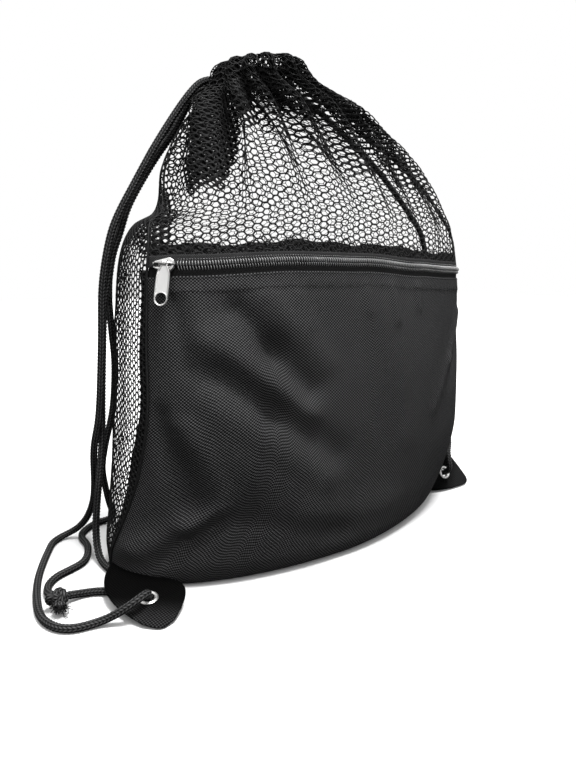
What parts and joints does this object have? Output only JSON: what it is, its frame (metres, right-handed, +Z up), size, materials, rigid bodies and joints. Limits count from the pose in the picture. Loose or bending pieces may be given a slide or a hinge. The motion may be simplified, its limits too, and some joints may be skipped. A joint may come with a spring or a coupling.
{
  "type": "drawstring mesh bag",
  "caption": "Drawstring bag of hexagonal net with a woven zip pocket in front, gathered neck, corner tabs with eyelets and braided cords, standing as if filled.",
  "frame": {"origin": "middle of the bag's box without its cords, on the floor under it", "axes": "+Z up, the front with the zip pocket faces -Y, +X to the right as seen from the front"},
  "size_m": [0.4105, 0.1731, 0.3648],
  "materials": {
    "net": "matte knitted net",
    "pocket_cloth": "plain woven, soft sheen",
    "zip_tape": "matte woven tape",
    "zip_coil": "satin",
    "plated_metal": "bright plated",
    "cord": "braided, slight sheen"
  },
  "bodies": {
    "bag": {"back_panel": "net", "front_yoke": "net", "pocket_panel": "pocket_cloth", "zip_tape_upper": "zip_tape", "zip_tape_lower": "zip_tape", "zip_coil": "zip_coil", "zip_slider": "plated_metal", "corner_tab_left": "pocket_cloth", "eyelet_left": "plated_metal", "corner_tab_right": "pocket_cloth", "eyelet_right": "plated_metal", "cord_left": "cord", "cord_right": "cord", "knot_left": "cord", "knot_right": "cord"},
    "zip_pull": {"zip_pull": "plated_metal"}
  },
  "joints": [
    {"name": "zip_pull_hinge", "type": "hinge", "parent": "bag", "child": "zip_pull", "pos_m": [-0.13607, -0.02599, 0.21728], "axis": [-0.7468, 0.6627, -0.0558], "range_deg": [0, 150]}
  ]
}
